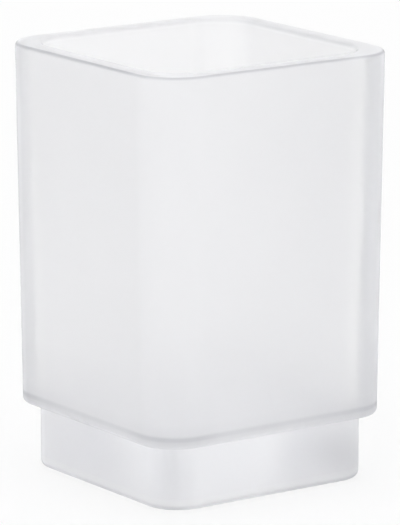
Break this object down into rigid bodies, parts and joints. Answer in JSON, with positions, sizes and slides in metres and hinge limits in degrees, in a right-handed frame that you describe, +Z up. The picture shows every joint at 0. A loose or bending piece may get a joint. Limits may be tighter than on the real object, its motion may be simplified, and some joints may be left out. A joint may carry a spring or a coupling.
{
  "type": "bathroom tumbler",
  "caption": "Square satin-glass tumbler with round corners and a solid recessed foot that drops into a holder ring, for rinsing or for keeping toothbrushes.",
  "frame": {"origin": "centre of the standing plane under the foot", "axes": "+Z up along the tumbler's axis, X and Y square to its flat sides"},
  "size_m": [0.0664, 0.0664, 0.1],
  "materials": {
    "satin_glass": "satin-etched clear glass with a fire-polished rim"
  },
  "bodies": {
    "root": {"tumbler": "satin_glass"}
  },
  "joints": []
}
